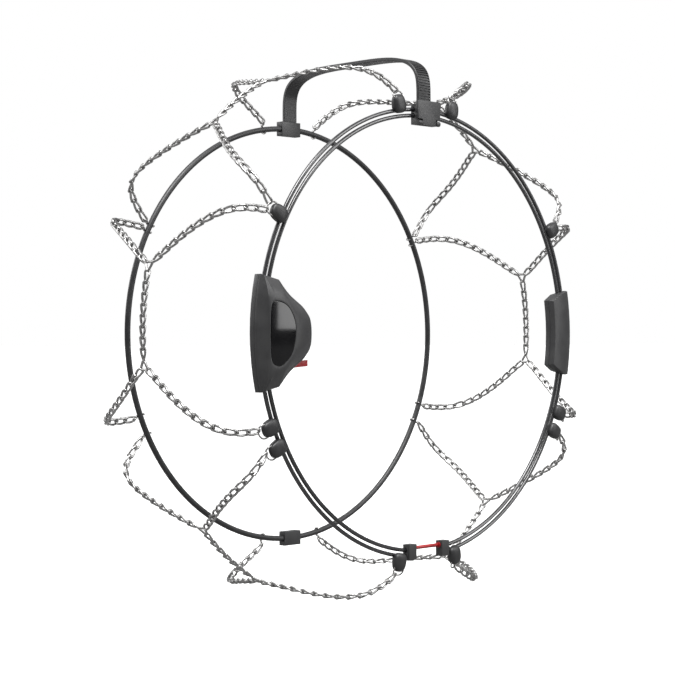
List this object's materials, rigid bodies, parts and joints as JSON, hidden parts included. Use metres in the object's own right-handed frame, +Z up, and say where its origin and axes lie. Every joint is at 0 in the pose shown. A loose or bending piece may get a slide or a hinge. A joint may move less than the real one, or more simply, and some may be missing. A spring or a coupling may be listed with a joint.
{
  "type": "tyre snow chain",
  "caption": "Self-tensioning snow chain as fitted around a car tyre: steel cross chains, an outer ring of sheathed rods with side housings, a ladder strap with buckle, and a red locking pin.",
  "frame": {"origin": "centre of the tyre that the chain is fitted on", "axes": "+Y along the wheel's axis towards the vehicle, -Y to the outer side of the wheel, +Z up, +X to the right seen from the outer side"},
  "size_m": [0.672, 0.2621, 0.6425],
  "materials": {
    "chain_steel": "galvanised, satin",
    "pin_steel": "satin",
    "ring_sheath": "gloss black sheath on a steel rod",
    "cable_sheath": "black sheath on a steel cable",
    "housing_plastic": "fine matt grain",
    "cap_plastic": "satin",
    "badge_gloss": "high gloss",
    "strap_rubber": "satin",
    "red_plastic": "satin gloss"
  },
  "bodies": {
    "chain": {"anchor_left_bottom": "cap_plastic", "anchor_left_lower": "cap_plastic", "anchor_left_middle": "cap_plastic", "anchor_left_top": "cap_plastic", "anchor_left_upper": "cap_plastic", "anchor_right_bottom": "cap_plastic", "anchor_right_lower": "cap_plastic", "anchor_right_middle": "cap_plastic", "anchor_right_top": "cap_plastic", "anchor_right_upper": "cap_plastic", "badge": "badge_gloss", "buckle_base": "housing_plastic", "centre_chain_left_1": "chain_steel", "centre_chain_left_2": "chain_steel", "centre_chain_left_3": "chain_steel", "centre_chain_right_1": "chain_steel", "centre_chain_right_2": "chain_steel", "centre_chain_right_3": "chain_steel", "coupling_block_left": "housing_plastic", "coupling_block_right": "housing_plastic", "cross_chain_left_1": "chain_steel", "cross_chain_left_2": "chain_steel", "cross_chain_left_3": "chain_steel", "cross_chain_left_4": "chain_steel", "cross_chain_left_5": "chain_steel", "cross_chain_left_6": "chain_steel", "cross_chain_right_1": "chain_steel", "cross_chain_right_2": "chain_steel", "cross_chain_right_3": "chain_steel", "cross_chain_right_4": "chain_steel", "cross_chain_right_5": "chain_steel", "cross_chain_right_6": "chain_steel", "guide_housing_base": "housing_plastic", "guide_housing_cover": "housing_plastic", "hook_rod_left_lower": "ring_sheath", "hook_rod_left_upper": "ring_sheath", "hook_rod_right_lower": "ring_sheath", "hook_rod_right_upper": "ring_sheath", "inner_cable_left": "cable_sheath", "inner_cable_right": "cable_sheath", "inner_connector": "housing_plastic", "ladder_strap": "strap_rubber", "pawl_pin": "pin_steel", "pin_collar": "red_plastic", "plate_pin": "pin_steel", "reel_axle": "pin_steel", "release_lever_pin": "pin_steel", "slide_rod_left_lower": "ring_sheath", "slide_rod_left_upper": "ring_sheath", "slide_rod_right_lower": "ring_sheath", "slide_rod_right_upper": "ring_sheath", "strap_anchor": "housing_plastic", "tension_housing_base": "housing_plastic", "tension_housing_cover": "housing_plastic"},
    "reel": {"reel": "housing_plastic", "spiral_spring": "pin_steel"},
    "release_lever": {"release_lever": "red_plastic"},
    "buckle_plate": {"buckle_plate": "housing_plastic"},
    "pawl": {"pawl": "pin_steel"},
    "locking_pin": {"locking_pin": "red_plastic"}
  },
  "joints": [
    {"name": "reel_spin", "type": "hinge", "parent": "chain", "child": "reel", "pos_m": [-0.2385, -0.125, 0], "axis": [0, 1, 0], "range_deg": [-90, 180], "stiffness_Nm_per_rad": 0.02},
    {"name": "release_lever_turn", "type": "hinge", "parent": "chain", "child": "release_lever", "pos_m": [-0.234, -0.117, -0.0395], "axis": [0, 1, 0], "range_deg": [0, 12], "stiffness_Nm_per_rad": 0.02},
    {"name": "buckle_plate_lift", "type": "hinge", "parent": "chain", "child": "buckle_plate", "pos_m": [0, -0.1245, 0.2492], "axis": [1, 0, 0], "range_deg": [0, 60], "stiffness_Nm_per_rad": 0.02},
    {"name": "pawl_lift", "type": "hinge", "parent": "chain", "child": "pawl", "pos_m": [0, -0.12105, 0.2575], "axis": [1, 0, 0], "range_deg": [0, 6], "stiffness_Nm_per_rad": 0.005},
    {"name": "locking_pin_slide", "type": "slide", "parent": "chain", "child": "locking_pin", "axis": [1, 0, 0], "range_m": [0, 0.0055]}
  ]
}
